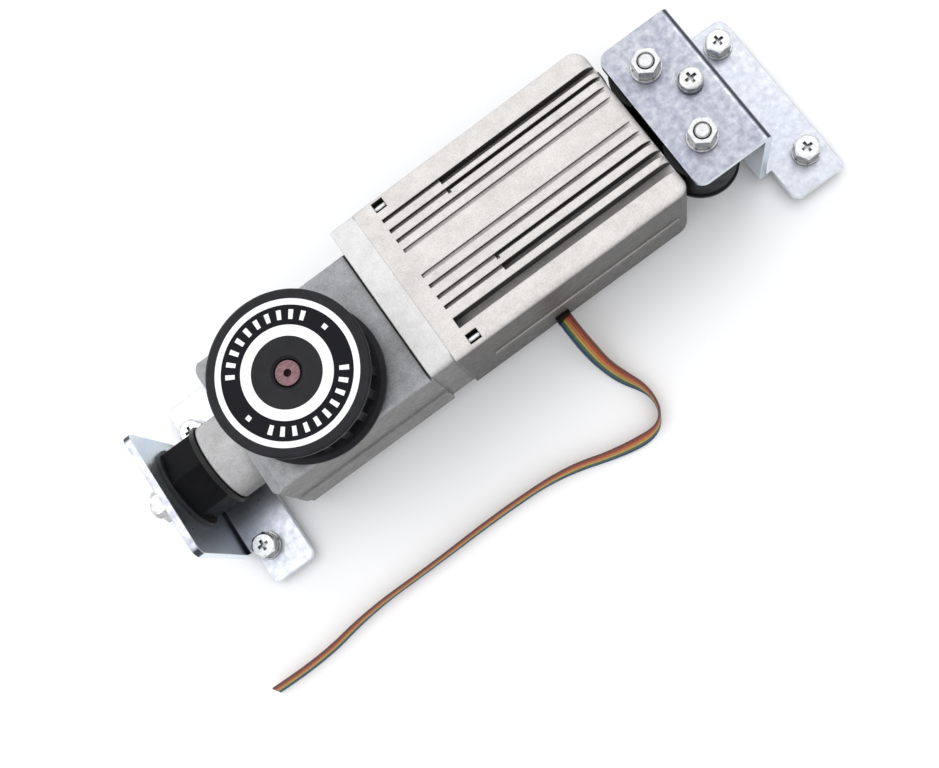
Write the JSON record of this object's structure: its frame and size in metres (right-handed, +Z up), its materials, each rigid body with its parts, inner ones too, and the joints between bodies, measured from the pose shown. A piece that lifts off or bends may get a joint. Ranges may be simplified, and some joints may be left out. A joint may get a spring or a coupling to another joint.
{
  "type": "sliding door gearmotor",
  "caption": "Finned brushless motor with right-angle worm gearbox, flanged toothed-belt pulley, rubber-damped end brackets and a short ribbon cable.",
  "frame": {"origin": "centre of the four foot screws, in the plane of the feet's underside", "axes": "+X along the motor from the damper boss to its rear end, +Z up along the pulley axis, away from the feet"},
  "size_m": [0.322, 0.1358, 0.0862],
  "materials": {
    "cast_gearbox": "sand-cast, bead-blasted",
    "cast_motor": "die-cast, matt silver paint",
    "zinc_sheet": "bright blue-white zinc plate",
    "zinc_fastener": "bright zinc",
    "black_steel": "black oxide",
    "black_rubber": "moulded, matt",
    "pulley_black": "hard anodised, satin",
    "pulley_label": "printed rings",
    "steel": "ground",
    "bronze": "machined",
    "end_cap_black": "black paint",
    "laminations": "stacked sheet",
    "magnet": "nickel",
    "copper": "enamelled wire",
    "circuit_board": "solder mask",
    "gasket": "fibre",
    "ribbon": "coloured insulation"
  },
  "bodies": {
    "frame": {"bottom_cover": "cast_gearbox", "cable_grommet": "black_rubber", "carrier_nuts": "zinc_fastener", "carrier_screws": "black_steel", "carrier_spring_washers": "zinc_fastener", "cover_gasket": "gasket", "cover_screws": "black_steel", "earth_screw": "zinc_fastener", "earth_washer": "zinc_fastener", "foot_flat_washers": "zinc_fastener", "foot_screws": "zinc_fastener", "foot_spring_washers": "zinc_fastener", "gearbox_housing": "cast_gearbox", "hall_board": "circuit_board", "housing_screws": "zinc_fastener", "left_bracket": "zinc_sheet", "left_damper": "black_rubber", "left_damper_plates": "black_steel", "left_flat_washer": "zinc_fastener", "left_nut": "zinc_fastener", "left_spring_washer": "zinc_fastener", "left_studs": "zinc_fastener", "lower_bearing": "steel", "motor_housing": "cast_motor", "motor_rear_bearing": "steel", "oil_seal": "black_rubber", "rear_carrier": "black_steel", "rear_end_cap": "end_cap_black", "ribbon_cable": "ribbon", "right_bracket": "zinc_sheet", "right_damper_plates": "black_steel", "right_dampers": "black_rubber", "right_flat_washers": "zinc_fastener", "right_nuts": "zinc_fastener", "right_spring_washers": "zinc_fastener", "right_studs": "zinc_fastener", "stator_core": "laminations", "stator_windings": "copper", "upper_bearing": "steel", "worm_left_bearing": "steel", "worm_middle_bearing": "steel"},
    "output": {"output_shaft": "steel", "wheel_key": "steel", "worm_wheel": "bronze", "pulley_key": "steel", "pulley_body": "pulley_black", "pulley_top_flange": "pulley_black", "pulley_bottom_flange": "pulley_black", "pulley_label": "pulley_label"},
    "rotor": {"motor_shaft": "steel", "worm": "steel", "rotor_core": "laminations", "rotor_magnets": "magnet"}
  },
  "joints": [
    {"name": "pulley_spin", "type": "hinge", "parent": "frame", "child": "output", "pos_m": [-0.07825, 0.001, 0.0305], "axis": [0, 0, 1], "continuous": true},
    {"name": "rotor_spin", "type": "hinge", "parent": "frame", "child": "rotor", "pos_m": [-0.07825, 0.017, 0.0305], "axis": [1, 0, 0], "continuous": true}
  ],
  "couplings": [
    {"joint": "rotor_spin", "follows": "pulley_spin", "ratio": 13}
  ]
}
